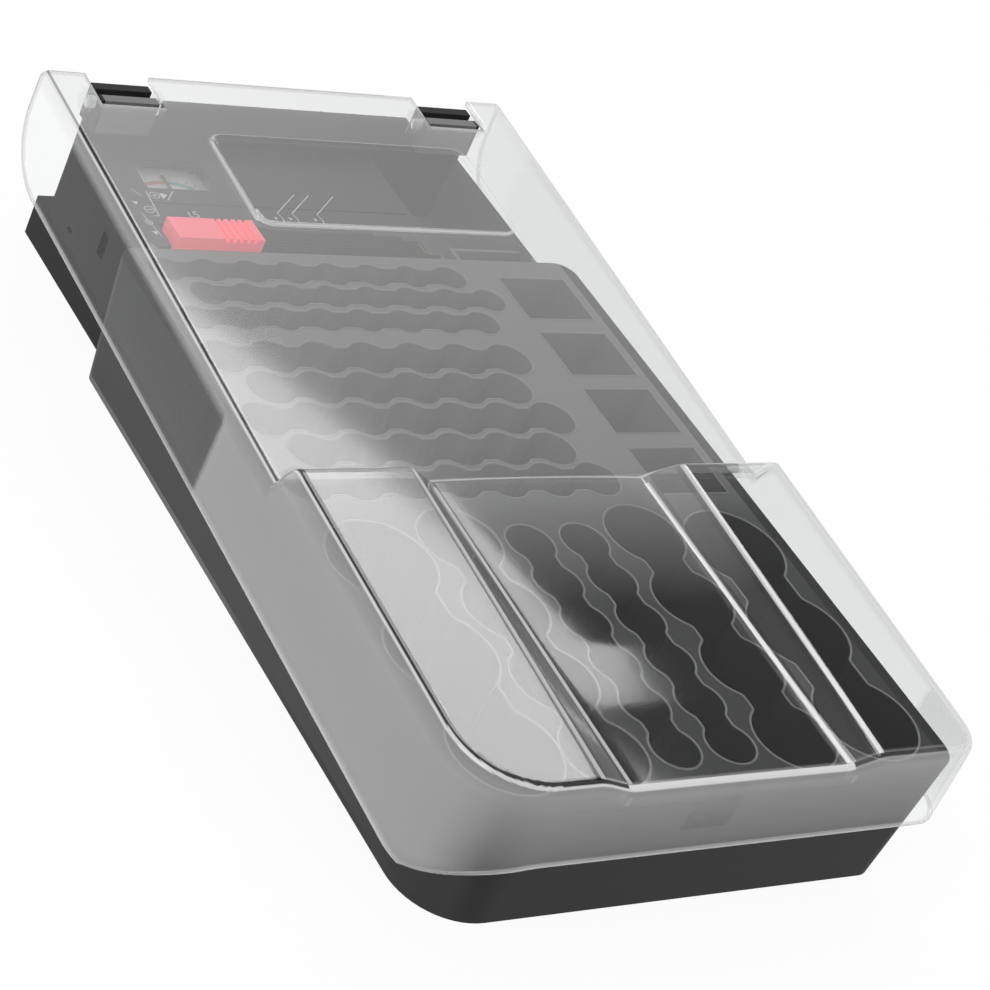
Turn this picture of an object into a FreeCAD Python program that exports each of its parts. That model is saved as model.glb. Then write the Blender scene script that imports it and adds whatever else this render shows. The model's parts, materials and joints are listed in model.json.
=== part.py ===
import FreeCAD, Part
import math
import os
import re

# Battery storage case with a clear hinged lid and a slide-contact tester.
# Origin: middle of the footprint on the ground, +Y toward the hinge, +Z up.

V = FreeCAD.Vector
doc = FreeCAD.newDocument("battery_case")
sheet = doc.addObject("Spreadsheet::Sheet", "dims")

# Driving dimensions in millimetres
DIMS = [
    ("tray_top", 47.5),
    ("base_half_width", 88.4),
    ("base_front", 156.8),
    ("base_rear", 88.1),
    ("base_side_draft", 4.4),
    ("base_end_draft", 2.0),
    ("corner_left", 24.0),
    ("corner_right", 9.0),
    ("corner_rear", 7.0),
    ("skin", 1.6),
    ("relief_radius", 9.0),
    ("relief_centre", 2.5),
    ("relief_depth", 16.0),
    ("relief_x", -2.0),
    ("cup_wall", 1.2),
    ("tongue_set_in", 13.4),
    ("tongue_half_width", "=base_half_width - tongue_set_in"),
    ("tongue_depth", 63.4),
    ("tongue_rear", "=base_rear + tongue_depth"),
    ("foot_reach", 9.5),
    ("foot_rear", "=tongue_rear + foot_reach"),
    ("foot_height", 15.0),
    ("wall_rise", 14.0),
    ("wall_thick", 3.0),
    ("bay_floor", 22.5),
    ("aaa_radius", 5.9),
    ("aaa_neck", 7.8),
    ("aaa_pitch", 15.4),
    ("aaa_floor", 7.0),
    ("aa_radius", 7.9),
    ("aa_neck", 9.8),
    ("aa_pitch", 17.8),
    ("aa_floor", 1.6),
    ("block_set_in", 8.1),
    ("block_width", 27.1),
    ("block_right", "=base_half_width - block_set_in"),
    ("block_left", "=block_right - block_width"),
    ("block_depth", 22.15),
    ("block_floor", 3.6),
    ("aa_column_radius", 8.1),
    ("aa_column_neck", 10.6),
    ("aa_column_pitch", 17.26),
    ("aa_column_x", 10.15),
    ("c_column_x", 34.7),
    ("c_radius", 13.6),
    ("c_neck", 14.6),
    ("c_pitch", 29.3),
    ("c_floor", 1.6),
    ("d_set_in", 22.4),
    ("d_column_x", "=base_half_width - d_set_in"),
    ("d_radius", 17.3),
    ("d_neck", 21.5),
    ("d_pitch", 38.0),
    ("d_floor", 1.6),
    ("cusp_radius", 2.6),
    ("lid_side_reach", 4.1),
    ("lid_half_width", "=base_half_width + lid_side_reach"),
    ("lid_front_reach", 4.7),
    ("lid_front", "=base_front + lid_front_reach"),
    ("lid_rear_reach", 6.5),
    ("lid_rear", "=tongue_rear + lid_rear_reach"),
    ("lid_skin", 1.6),
    ("lid_draft", 0.8),
    ("lid_corner_left", 27.5),
    ("lid_corner_right", 12.5),
    ("lid_top_rear", 65.8),
    ("lid_top_step", 53.6),
    ("lid_step_y", 31.0),
    ("lid_step_run", 2.6),
    ("panel_top_step", 64.0),
    ("panel_top_front", 60.0),
    ("low_top_step", 55.8),
    ("low_top_front", 53.6),
    ("low_half_width", 32.0),
    ("panel_inner", 49.0),
    ("rim_rear", 29.4),
    ("rim_left_front", 13.4),
    ("rim_corner_run", 34.0),
    ("cheek_radius", 23.0),
    ("badge_x", 8.0),
    ("badge_y", 107.0),
    ("badge_width", 102.0),
    ("badge_depth", 45.0),
    ("badge_rise", 0.7),
    ("badge_corner", 6.0),
    ("lid_rest_gap", 0.3),
    ("rest_x", 41.0),
    ("hinge_set_in", 1.9),
    ("hinge_y", "=tongue_rear - hinge_set_in"),
    ("hinge_z", 60.4),
    ("hinge_bar_radius", 2.0),
    ("hinge_play", 0.25),
    ("lug_set_in", 0.5),
    ("lug_width", 21.0),
    ("lug_outer", "=tongue_half_width - lug_set_in"),
    ("lug_inner", "=lug_outer - lug_width"),
    ("lug_depth", 10.4),
    ("lug_low", 52.0),
    ("lug_high", 64.4),
    ("lug_side_play", 1.3),
    ("boss_thick", 2.6),
    ("boss_reach", 3.2),
    ("tester_left", "=tongue_half_width - skin - bay_play"),
    ("tester_right", 36.3),
    ("tester_front", "=base_rear + bay_front_play"),
    ("tester_rear", "=tongue_rear - wall_thick - bay_rear_play"),
    ("tester_skin", 1.8),
    ("meter_x", 49.0),
    ("meter_y", 130.3),
    ("meter_width", 26.6),
    ("meter_depth", 18.0),
    ("window_thick", 1.2),
    ("window_play", 0.05),
    ("window_lip", 1.0),
    ("bay_play", 0.5),
    ("bay_front_play", 2.0),
    ("bay_rear_play", 0.6),
    ("channel_rear", 101.8),
    ("channel_left", 67.5),
    ("channel_right", 31.0),
    ("channel_floor", 36.2),
    ("split_drop", 2.2),
    ("shell_split", "=channel_floor - split_drop"),
    ("slit_low", 39.4),
    ("slit_high", 42.6),
    ("slit_end", 12.0),
    ("slider_left", 65.2),
    ("slider_length", 31.4),
    ("slider_rise", 3.0),
    ("slide_play", 0.35),
    ("contact_thick", 0.6),
    ("pivot_y", 115.2),
    ("needle_length", 20.5),
    ("needle_level", 43.2),
    ("dial_level", 40.6),
    ("dial_thick", 0.8),
    ("armature_radius", 5.0),
    ("armature_height", 4.4),
    ("magnet_radius", 7.4),
    ("pivot_play", 0.05),
    ("shaft_radius", 0.6),
    ("board_level", 30.0),
    ("board_thick", 1.6),
    ("screw_radius", 1.3),
    ("screw_head_radius", 2.6),
    ("boss_radius", 3.4),
]
for row, (name, value) in enumerate(DIMS, start=1):
    sheet.set("A%d" % row, name)
    sheet.setAlias("B%d" % row, name)
for row, (name, value) in enumerate(DIMS, start=1):
    sheet.set("B%d" % row, str(value))
doc.recompute()


class Sizes:
    """Reads each driving dimension from the sheet by its name."""

    def __getattr__(self, name):
        return float(getattr(sheet, name))


D = Sizes()
UP = V(0, 0, 1)


def box_between(x0, x1, y0, y1, z0, z1):
    """Solid box between two corners."""
    return Part.makeBox(x1 - x0, y1 - y0, z1 - z0, V(x0, y0, z0))


def rounded_wire(x0, x1, y0, y1, radii, z):
    """Rounded rectangle at height z; radii run front-left, front-right, rear-right, rear-left."""
    corners = [(x0, y0, 180), (x1, y0, 270), (x1, y1, 0), (x0, y1, 90)]
    edges = []
    points = []
    for (cx, cy, start), radius in zip(corners, radii):
        ox = cx + radius if cx == x0 else cx - radius
        oy = cy + radius if cy == y0 else cy - radius
        a0 = math.radians(start)
        arc = [V(ox + radius * math.cos(a0 + t), oy + radius * math.sin(a0 + t), z)
               for t in (0, math.pi / 4, math.pi / 2)]
        points.append(arc)
    for i, arc in enumerate(points):
        edges.append(Part.Arc(*arc).toShape())
        following = points[(i + 1) % len(points)]
        edges.append(Part.LineSegment(arc[2], following[0]).toShape())
    return Part.Wire(edges)


def tapered(x0, x1, y0, y1, radii, z0, z1, dx, dy):
    """Solid between a rounded outline at z1 and the same outline drawn in by dx, dy at z0."""
    low = rounded_wire(x0 + dx, x1 - dx, y0 + dy, y1 - dy, [max(r - dy, 0.6) for r in radii], z0)
    high = rounded_wire(x0, x1, y0, y1, radii, z1)
    return Part.makeLoft([low, high], True, True)


def chain_wire(count, pitch, radius, neck, cusp, z):
    """Outline of joined round cells along +X from the origin, cusps rounded by an arc."""
    half = neck / 2
    reach = radius + cusp
    along = math.sqrt(max(reach * reach - (half + cusp) ** 2, 0.0))
    tx = along * radius / reach
    ty = (half + cusp) * radius / reach
    edges = []

    def side(sign, order):
        """One long edge of the chain, walked in the given cell order."""
        step = 1 if order[0] < order[-1] else -1
        for index, cell in enumerate(order):
            cx = cell * pitch
            enter = V(cx - step * tx, sign * ty, z)
            leave = V(cx + step * tx, sign * ty, z)
            middle = V(cx, sign * radius, z)
            if index == 0:
                enter = V(cx - step * radius, 0, z)
            if index == len(order) - 1:
                leave = V(cx + step * radius, 0, z)
            edges.append(Part.Arc(enter, middle, leave).toShape())
            if index == len(order) - 1:
                continue
            bx = cx + step * along
            flat_start = V(bx, sign * half, z)
            lean = (math.pi / 2 + math.atan2(half + cusp, along)) / 2
            mid_b = V(bx - step * cusp * math.cos(lean), sign * (half + cusp - cusp * math.sin(lean)), z)
            edges.append(Part.Arc(leave, mid_b, flat_start).toShape())
            next_x = cx + step * pitch
            flat_end = V(next_x - step * along, sign * half, z)
            if flat_start.distanceToPoint(flat_end) > 0.01:
                edges.append(Part.LineSegment(flat_start, flat_end).toShape())
            mid_c = V(next_x - step * along + step * cusp * math.cos(lean),
                      sign * (half + cusp - cusp * math.sin(lean)), z)
            edges.append(Part.Arc(flat_end, mid_c, V(next_x - step * tx, sign * ty, z)).toShape())

    side(1, list(range(count)))
    side(-1, list(range(count - 1, -1, -1)))
    return Part.Wire(edges)


def chain(count, pitch, radius, neck, cusp, z0, z1):
    """Upright solid with the joined-cell outline."""
    face = Part.Face(chain_wire(count, pitch, radius, neck, cusp, z0))
    return face.extrude(V(0, 0, z1 - z0))


def moved(shape, x, y, turn=0.0):
    """Copy turned about Z by turn degrees and shifted to x, y."""
    copy = shape.copy()
    copy.rotate(V(0, 0, 0), UP, turn)
    copy.translate(V(x, y, 0))
    return copy


NODES = []


def sized(text):
    """Expression text with each lower-case name read from the sheet."""
    return re.sub(r"[a-z]\w*", r"dims.\g<0>", str(text))


def feature(name, shape):
    """Part feature for an outline that no primitive gives."""
    holder = doc.addObject("Part::Feature", name)
    holder.Shape = shape
    return holder


def block(name, xs, ys, zs):
    """Box whose two ends on each axis are expressions of the sheet."""
    solid = doc.addObject("Part::Box", name)
    for size, axis, (low, high) in (("Length", "x", xs), ("Width", "y", ys), ("Height", "z", zs)):
        solid.setExpression(size, sized("(%s) - (%s)" % (high, low)))
        solid.setExpression("Placement.Base." + axis, sized(low))
    return solid


def rod(name, radius, length, at, axis="z"):
    """Cylinder along one axis, bound to the sheet."""
    turns = {"x": (V(0, 1, 0), 90), "y": (V(1, 0, 0), -90), "z": (V(0, 0, 1), 0)}
    solid = doc.addObject("Part::Cylinder", name)
    solid.Placement = FreeCAD.Placement(V(0, 0, 0), FreeCAD.Rotation(*turns[axis]))
    solid.setExpression("Radius", sized(radius))
    solid.setExpression("Height", sized(length))
    for letter, value in zip("xyz", at):
        solid.setExpression("Placement.Base." + letter, sized(value))
    return solid


def joined(name, parts):
    """Union of several objects."""
    union = doc.addObject("Part::MultiFuse", name)
    union.Shapes = parts
    return union


def carved(name, solid, tools):
    """Solid with the tools taken away."""
    cut = doc.addObject("Part::Cut", name)
    cut.Base = solid
    cut.Tool = tools[0] if len(tools) == 1 else joined(name + "_tools", tools)
    return cut


def piece(obj):
    """Marks an object as a finished piece that goes to its own file."""
    obj.Label = obj.Name
    NODES.append(obj)
    return obj


# Wells: rows of AAA and AA cells, blocks for nine volt cells, columns of AA, C and D cells
WELLS = []
for y, last, cells in ((77.4, 32.7, 8), (65.4, 42.0, 8), (53.1, 32.7, 8)):
    WELLS.append((cells, "aaa_pitch", "aaa_radius", "aaa_neck", "aaa_floor", last - (cells - 1) * D.aaa_pitch, y, 0))
for y, last, cells in ((33.9, 32.1, 7), (19.1, 23.7, 6), (4.2, 32.1, 7), (-10.6, 23.7, 6), (-25.4, 32.1, 7)):
    WELLS.append((cells, "aa_pitch", "aa_radius", "aa_neck", "aa_floor", last - (cells - 1) * D.aa_pitch, y, 0))
for x in (-D.aa_column_x, D.aa_column_x):
    WELLS.append((6, "aa_column_pitch", "aa_column_radius", "aa_column_neck", "aa_floor", x, -53.7, -90))
for x in (-D.c_column_x, D.c_column_x):
    WELLS.append((4, "c_pitch", "c_radius", "c_neck", "c_floor", x, -51.5, -90))
for x in (-D.d_column_x, D.d_column_x):
    WELLS.append((3, "d_pitch", "d_radius", "d_neck", "d_floor", x, -59.0, -90))
BLOCK_TOPS = (78.3, 48.5, 18.9, -10.9)

cups = []
hollows = []
for cells, pitch, radius, neck, floor, x, y, turn in WELLS:
    pitch, radius, neck, floor = (getattr(D, n) for n in (pitch, radius, neck, floor))
    reach = radius + D.cup_wall
    if radius < D.aa_pitch / 2:
        outline = rounded_wire(-reach, (cells - 1) * pitch + reach, -reach, reach, [reach - 0.05] * 4, floor - D.cup_wall)
        cup = Part.Face(outline).extrude(V(0, 0, D.tray_top - D.skin / 2 - floor + D.cup_wall))
    else:
        cup = chain(cells, pitch, reach, neck + 2 * D.cup_wall, D.cusp_radius - D.cup_wall,
                    floor - D.cup_wall, D.tray_top - D.skin / 2)
    hollow = chain(cells, pitch, radius, neck, D.cusp_radius, floor, D.tray_top + 1)
    cups.append(moved(cup, x, y, turn))
    hollows.append(moved(hollow, x, y, turn))
for top in BLOCK_TOPS:
    wall = D.cup_wall
    cups.append(box_between(D.block_left - wall, D.block_right + wall, top - D.block_depth - wall, top + wall,
                            D.block_floor - wall, D.tray_top - D.skin / 2))
    hollows.append(box_between(D.block_left, D.block_right, top - D.block_depth, top,
                               D.block_floor, D.tray_top + 1))

# Base moulding: drafted skirt with a flat tray plate, open underneath
radii = [D.corner_left, D.corner_right, D.corner_rear, D.corner_rear]
outer = tapered(-D.base_half_width, D.base_half_width, -D.base_front, D.base_rear, radii,
                0, D.tray_top, D.base_side_draft, D.base_end_draft)
inner = tapered(-D.base_half_width + D.skin, D.base_half_width - D.skin, -D.base_front + D.skin,
                D.base_rear - D.skin, [r - D.skin for r in radii], 0, D.tray_top - D.skin,
                D.base_side_draft, D.base_end_draft)
skirt = feature("skirt", outer.cut(inner))
cup_set = feature("cup_set", cups[0].multiFuse(cups[1:]).common(outer))
hollow_set = feature("hollow_set", Part.makeCompound(hollows))

# Tongue behind the wells: side walls, rear wall, foot ledge, bay floor and tester stops
joint_y = "base_rear - skin"
rear_in = "tongue_rear - skin"
stop_x = "tester_right + bay_play"
stop_top = "tray_top - skin"
tongue = [
    block("tongue_wall_left", ("-tongue_half_width", "skin - tongue_half_width"), (joint_y, "tongue_rear"), (0, "tray_top")),
    block("tongue_wall_right", ("tongue_half_width - skin", "tongue_half_width"), (joint_y, "tongue_rear"), (0, "tray_top")),
    block("tongue_wall_rear", ("-tongue_half_width", "tongue_half_width"), (rear_in, "tongue_rear"), (0, "tray_top")),
    block("bay_plate", ("-tongue_half_width", "tongue_half_width"), (joint_y, "tongue_rear"),
          ("bay_floor - skin", "bay_floor")),
    block("rear_wall", ("-tongue_half_width", "tongue_half_width"), ("tongue_rear - wall_thick", "tongue_rear"),
          ("bay_floor - skin", "tray_top + wall_rise")),
    block("foot_block", ("-tongue_half_width", "tongue_half_width"), (rear_in, "foot_rear"), (0, "foot_height")),
    block("stop_front", (stop_x, stop_x + " + skin"), (joint_y, "base_rear + 9"), ("bay_floor - skin", stop_top)),
    block("stop_rear", (stop_x, stop_x + " + skin"), ("tongue_rear - wall_thick - 9", "tongue_rear - skin"),
          ("bay_floor - skin", stop_top)),
    block("bracket_long", ("tongue_half_width - 31.4", "tongue_half_width - skin / 2"),
          ("base_rear + 7.2", "base_rear + 8.6"), ("bay_floor - skin", stop_top)),
    block("bracket_short", ("tongue_half_width - 31.4", "tongue_half_width - 30"),
          ("base_rear - skin / 2", "base_rear + 8"), ("bay_floor - skin", stop_top)),
]
tongue_cuts = [
    block("foot_void", ("skin - tongue_half_width", "tongue_half_width - skin"),
          ("tongue_rear - 2 * skin", "foot_rear - skin"), (-1, "foot_height - skin")),
    block("window_tall", ("-tongue_half_width - 1", "2 * skin - tongue_half_width"), (112.5, 117),
          ("tray_top - 23", "tray_top - 14.5")),
    block("window_small", ("-tongue_half_width - 1", "2 * skin - tongue_half_width"), (134.5, 137.5),
          ("tray_top - 29", "tray_top - 27.5")),
    rod("finger_relief", "relief_radius", "relief_depth + 1", ("relief_x", "-base_front - relief_centre", "tray_top - relief_depth")),
]
tongue.append(block("relief_pocket", ("relief_x - relief_radius - skin", "relief_x + relief_radius + skin"),
                    ("skin / 2 + base_end_draft - base_front", "relief_radius + skin - relief_centre - base_front"),
                    ("tray_top - relief_depth - skin", "tray_top - skin / 2")))
nubs = [rod("nub_%d" % i, 0.6, "wall_thick - 0.6", (12.9 * i, "tongue_rear - wall_thick", "tray_top + wall_rise"), "y")
        for i in range(-3, 4)]

# Snap hinge lugs: upright blocks with a round seat open at the top, beside notches for the lid bosses
lugs = []
seats = []
for word, inner_x, outer_x in (("left", "-lug_outer", "-lug_inner"), ("right", "lug_inner", "lug_outer")):
    lugs.append(block("lug_" + word, (inner_x, outer_x), ("hinge_y - lug_depth / 2", "hinge_y + lug_depth / 2"),
                      ("lug_low", "lug_high")))
    seats.append(rod("seat_" + word, "hinge_bar_radius + hinge_play", "lug_outer - lug_inner + 2",
                     (inner_x + " - 1", "hinge_y", "hinge_z"), "x"))
    seats.append(block("throat_" + word, (inner_x + " - 1", outer_x + " + 1"),
                       ("hinge_y - hinge_bar_radius + 0.35", "hinge_y + hinge_bar_radius - 0.35"),
                       ("hinge_z", "lug_high + 1")))
notch_in = "lug_inner - lug_side_play - boss_thick - lug_side_play"
for word, low, high in (("left", "-lug_inner", "-(%s)" % notch_in), ("right", notch_in, "lug_inner")):
    seats.append(block("boss_notch_" + word, (low, high), ("tongue_rear - 2 * wall_thick", "tongue_rear + 1"),
                       ("hinge_z - boss_reach - 1.6", "tray_top + wall_rise + 2")))
base_body = joined("base_body", [skirt, cup_set] + tongue + lugs + nubs)
base_tray = piece(carved("base_tray", base_body, [hollow_set] + tongue_cuts + seats))
base_tray.Refine = True

# Lid: outer solid less inner solid, each a drafted plan cut by a side profile and a low middle channel


def lid_solid(inset):
    """Lid envelope drawn in by the inset; the drawn-in one is open below and behind."""
    w = D.lid_half_width - inset
    front = D.lid_front - inset
    rear = D.lid_rear if inset == 0 else D.lid_rear + 10
    low_z = 0.0
    high_z = 80.0
    corner = [D.lid_corner_left - inset, D.lid_corner_right - inset, 1.5, 1.5]
    draft = D.lid_draft * (high_z - low_z) / 40
    low = rounded_wire(-w, w, -front, rear, corner, low_z)
    high = rounded_wire(-w + draft, w - draft, -front + draft, rear, corner, high_z)
    plan = Part.makeLoft([low, high], True, True)
    slope = (D.lid_top_rear - D.lid_top_step) / (D.lid_rear + D.lid_step_y)
    step_y = -D.lid_step_y - inset
    far_z = D.lid_top_rear - inset + slope * (rear - D.lid_rear)
    run = D.lid_step_run
    tops = [(rear, far_z), (step_y, D.lid_top_step - inset + slope * (-inset)),
            (step_y - run, D.panel_top_step - inset), (-D.lid_front, D.panel_top_front - inset)]
    if inset == 0:
        arc_z = D.rim_rear + D.cheek_radius
        bend = math.radians(45)
        cy = rear - D.cheek_radius
        mid = (cy + D.cheek_radius * math.cos(bend), arc_z - D.cheek_radius * math.sin(bend))
        lower = [(rear, arc_z), mid, (cy, D.rim_rear)]
        edges = [Part.Arc(*[V(-100, y, z) for y, z in lower]).toShape()]
        path = [lower[2], (-D.lid_front, D.rim_left_front), tops[3], tops[2], tops[1], tops[0], lower[0]]
    else:
        edges = []
        path = [(rear, low_z), (-D.lid_front, low_z), tops[3], tops[2], tops[1], tops[0], (rear, low_z)]
    for a, b in zip(path, path[1:]):
        edges.append(Part.LineSegment(V(-100, *a), V(-100, *b)).toShape())
    profile = Part.Face(Part.Wire(Part.__sortEdges__(edges))).extrude(V(200, 0, 0))
    solid = plan.common(profile)
    sections = []
    over = 6.0
    spread = (D.panel_inner - D.low_half_width) / (D.panel_top_step - D.low_top_step)
    for y, low_top, panel_top in ((step_y + 1, D.low_top_step, D.panel_top_step),
                                  (-D.lid_front - 2, D.low_top_front, D.panel_top_front)):
        floor_z = low_top - inset
        top_z = panel_top + over
        half_low = D.low_half_width + inset * (0.5 if inset else 0)
        half_high = D.panel_inner + over * spread + inset * 0.5
        points = [V(-half_low, y, floor_z), V(half_low, y, floor_z), V(half_high, y, top_z), V(-half_high, y, top_z)]
        sections.append(Part.makePolygon(points + points[:1]))
    channel = Part.makeLoft(sections, True, True)
    solid = solid.cut(channel)
    badge = rounded_wire(D.badge_x - D.badge_width / 2, D.badge_x + D.badge_width / 2,
                         D.badge_y - D.badge_depth / 2, D.badge_y + D.badge_depth / 2,
                         [D.badge_corner] * 4, low_z)
    pad = Part.Face(badge).extrude(V(0, 0, high_z))
    raised = profile.copy()
    raised.translate(V(0, 0, D.badge_rise))
    lifted = pad.common(raised).cut(profile)
    return solid.fuse(lifted)


shell = lid_solid(0.0).cut(lid_solid(D.lid_skin))

# Rim: level along the front and right, falling along the left wall and curving up round the front left corner
rim_in = D.lid_half_width - D.lid_skin - 0.1
rim_low = D.rim_left_front + (D.rim_rear - D.rim_left_front) * D.lid_corner_left / (D.lid_front + D.lid_rear - D.cheek_radius)
rise = D.rim_rear - rim_low
steps = [(t / 6.0, 1 - (1 - t / 6.0) ** 2.6) for t in range(7)]
under = [V(-rim_in, -200, 0)] + [V(-rim_in + D.rim_corner_run * t, -200, rim_low + rise * f) for t, f in steps]
under += [V(200, -200, D.rim_rear), V(200, -200, 0)]
below_rim = Part.Face(Part.makePolygon(under + under[:1])).extrude(V(0, 200 + D.lid_rear - D.cheek_radius, 0))
shell = shell.cut(below_rim)
lid_shell = feature("lid_shell", shell)
cut_low = "lug_inner - lug_side_play"
cut_high = "lug_outer + lug_side_play"
lid_adds = []
lid_cuts = []
for word, low, high in (("left", "-(%s)" % cut_high, "-(%s)" % cut_low), ("right", cut_low, cut_high)):
    lid_cuts.append(block("lug_gap_" + word, (low, high), ("hinge_y - lug_depth / 2 - 2.4", "lid_rear + 1"),
                          ("hinge_z - 6", "lid_top_rear + 2")))
    lid_adds.append(rod("hinge_bar_" + word, "hinge_bar_radius", "%s - (%s) + 2" % (high, low),
                        (low + " - 1", "hinge_y", "hinge_z"), "x"))
    for end, x0, x1 in (("a", "%s - boss_thick" % low, low), ("b", high, "%s + boss_thick" % high)):
        lid_adds.append(block("boss_%s_%s" % (word, end), (x0, x1),
                              ("hinge_y - boss_reach", "hinge_y + boss_reach"),
                              ("hinge_z - boss_reach", "lid_top_rear - lid_skin - 0.3")))
rests = [block("rest_%d" % i, ("%d * rest_x - 0.8" % i, "%d * rest_x + 0.8" % i), ("lid_skin / 2 - lid_front", "3 - base_front"),
               ("tray_top + lid_rest_gap", "low_top_front + 1")) for i in (-1, 1)]
gapped = carved("lid_gapped", lid_shell, lid_cuts)
clear_lid = piece(joined("clear_lid", [gapped] + lid_adds + rests))
clear_lid.Refine = True

# Tester shells: a hollow upper half with the cell channel and a hollow back half
t_x = ("-tester_left", "tester_right")
t_y = ("tester_front", "tester_rear")
in_x = ("tester_skin - tester_left", "tester_right - tester_skin")
in_y = ("tester_front + tester_skin", "tester_rear - tester_skin")
back_y = ("channel_rear + tester_skin", "tester_rear - tester_skin")
upper = block("upper_block", t_x, t_y, ("shell_split", "tray_top"))
upper_cuts = [
    block("upper_hollow", in_x, back_y, ("shell_split - 1", "tray_top - tester_skin")),
    block("upper_under", in_x, in_y, ("shell_split - 1", "channel_floor - tester_skin")),
    block("cell_channel", ("-channel_left", "channel_right"), ("tester_front - 1", "channel_rear"),
          ("channel_floor", "tray_top + 1")),
    block("slider_slit", ("-channel_left", "slit_end"), ("channel_rear - 1", "channel_rear + tester_skin + 1"),
          ("slit_low", "slit_high")),
    block("window_hole", ("window_lip - meter_x - meter_width / 2", "meter_width / 2 - meter_x - window_lip"),
          ("meter_y - meter_depth / 2 + window_lip", "meter_y + meter_depth / 2 - window_lip"),
          ("tray_top - tester_skin - 1", "tray_top + 1")),
    block("window_seat", ("-meter_x - meter_width / 2", "meter_width / 2 - meter_x"),
          ("meter_y - meter_depth / 2", "meter_y + meter_depth / 2"), ("tray_top - window_thick - 0.2", "tray_top + 1")),
    block("face_groove", ("2 - tester_left", "tester_right - 2"), ("pivot_y - 2.5", "pivot_y - 1.7"),
          ("tray_top - 0.5", "tray_top + 1")),
    block("fixed_pocket", ("channel_right - 1", "channel_right + contact_thick"), ("tester_front + 1.5", "channel_rear - 4"),
          ("channel_floor", "tray_top + 1")),
]
NINE = (("pos", "pivot_y + 3", "pivot_y + 10"), ("neg", "pivot_y + 16", "pivot_y + 23"))
nine_z = ("shell_split + 3", "tray_top - 3")
upper_cuts += [block("nine_pocket_" + k, ("tester_right - contact_thick", "tester_right + 1"), (y0, y1), nine_z) for k, y0, y1 in NINE]
nine_volt_contacts = piece(joined("nine_volt_contacts", [
    block("nine_plate_" + k, ("tester_right - contact_thick", "tester_right"), (y0 + " + window_play", y1 + " - window_play"),
          ("shell_split + 3 + window_play", "tray_top - 3 - window_play")) for k, y0, y1 in NINE]))
corner_x = {"l": "boss_radius + tester_skin - tester_left - 0.5", "r": "tester_right - tester_skin - boss_radius + 0.5"}
corner_y = {"f": "channel_rear + tester_skin + 12", "b": "tester_rear - tester_skin - boss_radius + 0.5"}
SPOTS = [(a + b, corner_x[a], corner_y[b]) for a in "lr" for b in "fb"]
upper_bosses = [rod("upper_boss_" + k, "boss_radius", "tray_top - shell_split - 1", (x, y, "shell_split")) for k, x, y in SPOTS]
upper_holes = [rod("upper_hole_" + k, "screw_radius", 9, (x, y, "shell_split - 1")) for k, x, y in SPOTS]
dial_pegs = [rod("dial_peg_%s" % k, 1.1, "tray_top - tester_skin / 2 - dial_level - dial_thick",
                 ("%s - meter_x" % dx, dy, "dial_level + dial_thick"))
             for k, dx, dy in (("a", -13.6, "pivot_y"), ("b", 13.6, "pivot_y"), ("c", -13.6, "meter_y + meter_depth / 2 + 0.9"),
                               ("d", 13.6, "meter_y + meter_depth / 2 + 0.9"))]
channel_steps = [
    block("channel_step_long", ("channel_right - 17", "channel_right"), ("channel_rear - 2", "channel_rear + 0.5"),
          ("channel_floor - 0.5", "tray_top")),
    block("channel_step_short", ("channel_right - 6.5", "channel_right"), ("channel_rear - 4", "channel_rear - 1.5"),
          ("channel_floor - 0.5", "tray_top")),
]
upper_shell = joined("upper_shell", [carved("upper_case", upper, upper_cuts)] + upper_bosses + dial_pegs + channel_steps)
tester_top_shell = piece(carved("tester_top_shell", upper_shell, upper_holes))
lower = block("lower_block", t_x, t_y, ("bay_floor", "shell_split"))
lower_cuts = [block("lower_hollow", in_x, in_y, ("bay_floor + tester_skin", "shell_split + 1"))]
lower_bosses = [rod("lower_boss_" + k, "boss_radius", "shell_split - bay_floor", (x, y, "bay_floor")) for k, x, y in SPOTS]
lower_holes = [rod("lower_hole_" + k, "screw_radius + 0.2", 20, (x, y, "bay_floor - 1")) for k, x, y in SPOTS]
lower_holes += [rod("head_seat_" + k, "screw_head_radius + 0.3", 4, (x, y, "bay_floor - 1")) for k, x, y in SPOTS]
lower_shell = joined("lower_shell", [carved("lower_case", lower, lower_cuts)] + lower_bosses)
tester_back_shell = piece(carved("tester_back_shell", lower_shell, lower_holes))
screws = []
for k, x, y in SPOTS:
    screws.append(rod("screw_shank_" + k, "screw_radius", "shell_split - bay_floor + 4", (x, y, "bay_floor + 2")))
    screws.append(rod("screw_head_" + k, "screw_head_radius", 1.8, (x, y, "bay_floor + 1.1")))
shell_screws = piece(joined("shell_screws", screws))

# Red slider with grip ribs, held in the slit by a flange and a foot behind the wall
s_x = ("-slider_left", "slider_length - slider_left")
slide_parts = [
    block("slider_block", s_x, ("tester_front + slide_play", "channel_rear - slide_play"),
          ("channel_floor + slide_play", "tray_top + slider_rise")),
    block("slider_flange", s_x, ("channel_rear - 1", "channel_rear + tester_skin + 2.4"),
          ("slit_low + slide_play", "slit_high - slide_play")),
    block("slider_foot", s_x, ("channel_rear + tester_skin + slide_play", "channel_rear + tester_skin + 2.4"),
          ("slit_low - 1.6", "slit_high + 1.6")),
]
grip_cuts = [block("grip_%d" % i, ("%.1f - slider_left" % (17 + 2.6 * i), "%.1f - slider_left" % (18.2 + 2.6 * i)),
                   ("tester_front - 1", "channel_rear + 1"), ("tray_top + slider_rise - 1.4", "tray_top + slider_rise + 1"))
             for i in range(5)]
slider_seat = block("slider_seat", ("slider_length - slider_left - contact_thick", "slider_length - slider_left + 1"),
                    ("tester_front + 3", "channel_rear - 2"), ("channel_floor + 2", "tray_top - 1"))
red_slider = piece(carved("red_slider", joined("slider_body", slide_parts), grip_cuts + [slider_seat]))
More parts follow.
